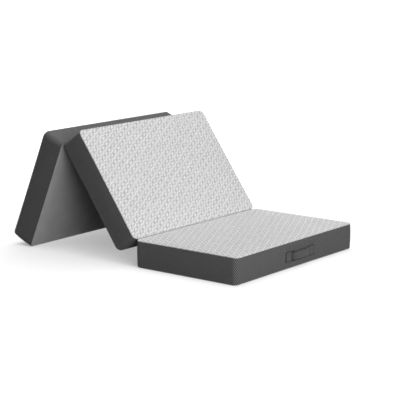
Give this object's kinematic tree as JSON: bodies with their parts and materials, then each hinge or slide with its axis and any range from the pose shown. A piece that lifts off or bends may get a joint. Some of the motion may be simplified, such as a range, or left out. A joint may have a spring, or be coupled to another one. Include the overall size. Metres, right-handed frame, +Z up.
{
  "type": "folding mattress",
  "caption": "Folding foam mattress standing half open in a zigzag, with a knit top, mesh border, fabric folds, zipped covers and a padded strap handle.",
  "frame": {"origin": "centre of the flat section's underside", "axes": "+X from the folds towards the handle, +Y towards the zips, +Z up"},
  "size_m": [1.4969, 1.0061, 0.6497],
  "materials": {
    "knit": "matte",
    "border_mesh": "matte",
    "bottom_cloth": "satin",
    "comfort_foam": "matte",
    "support_foam": "matte",
    "strap": "matte",
    "zip_coil": "satin",
    "zip_metal": "satin"
  },
  "bodies": {
    "flat": {"flat_top_panel": "knit", "flat_border": "border_mesh", "flat_bottom_panel": "bottom_cloth", "flat_comfort_foam": "comfort_foam", "flat_support_foam": "support_foam", "flat_zip": "zip_coil", "handle_patch_near": "strap", "handle_patch_far": "strap", "handle_leg_near": "strap", "handle_leg_far": "strap", "top_fold_web": "knit"},
    "middle": {"middle_top_panel": "knit", "middle_border": "border_mesh", "middle_bottom_panel": "bottom_cloth", "middle_comfort_foam": "comfort_foam", "middle_support_foam": "support_foam", "middle_zip": "zip_coil", "bottom_fold_web": "border_mesh"},
    "end": {"end_top_panel": "knit", "end_border": "border_mesh", "end_bottom_panel": "bottom_cloth", "end_comfort_foam": "comfort_foam", "end_support_foam": "support_foam", "end_zip": "zip_coil"},
    "flat_slider": {"flat_zip_slider": "zip_metal"},
    "flat_pull": {"flat_zip_pull": "zip_metal"},
    "middle_slider": {"middle_zip_slider": "zip_metal"},
    "middle_pull": {"middle_zip_pull": "zip_metal"},
    "end_slider": {"end_zip_slider": "zip_metal"},
    "end_pull": {"end_zip_pull": "zip_metal"},
    "handle": {"handle_grip": "strap"}
  },
  "joints": [
    {"name": "top_fold", "type": "hinge", "parent": "flat", "child": "middle", "pos_m": [-0.31475, 0, 0.1398], "axis": [0, 1, 0], "range_deg": [-54.7, 125.3], "deforming": ["top_fold_web"]},
    {"name": "bottom_fold", "type": "hinge", "parent": "middle", "child": "end", "pos_m": [-0.79408, 0, 0.57173], "axis": [0, -1, 0], "range_deg": [-121.26, 58.74], "deforming": ["bottom_fold_web"]},
    {"name": "handle_lift", "type": "slide", "parent": "flat", "child": "handle", "axis": [1, 0, 0], "range_m": [0, 0.01], "stiffness_N_per_m": 60, "deforming": ["handle_leg_near", "handle_leg_far"]},
    {"name": "flat_zip", "type": "slide", "parent": "flat", "child": "flat_slider", "axis": [-1, 0, 0], "range_m": [0, 0.495]},
    {"name": "flat_pull_swing", "type": "hinge", "parent": "flat_slider", "child": "flat_pull", "pos_m": [0.2475, 0.5036, 0.046], "axis": [0, 0, 1], "range_deg": [0, 180]},
    {"name": "middle_zip", "type": "slide", "parent": "middle", "child": "middle_slider", "axis": [-0.5779, 0, 0.8161], "range_m": [0, 0.495]},
    {"name": "middle_pull_swing", "type": "hinge", "parent": "middle_slider", "child": "middle_pull", "pos_m": [-0.43017, 0.5036, 0.14048], "axis": [0.8161, 0, 0.5779], "range_deg": [0, 180]},
    {"name": "end_zip", "type": "slide", "parent": "end", "child": "end_slider", "axis": [0.3978, 0, 0.9175], "range_m": [0, 0.495]},
    {"name": "end_pull_swing", "type": "hinge", "parent": "end_slider", "child": "end_pull", "pos_m": [-1.06159, 0.5036, 0.0749], "axis": [0.9175, 0, -0.3978], "range_deg": [0, 180]}
  ]
}
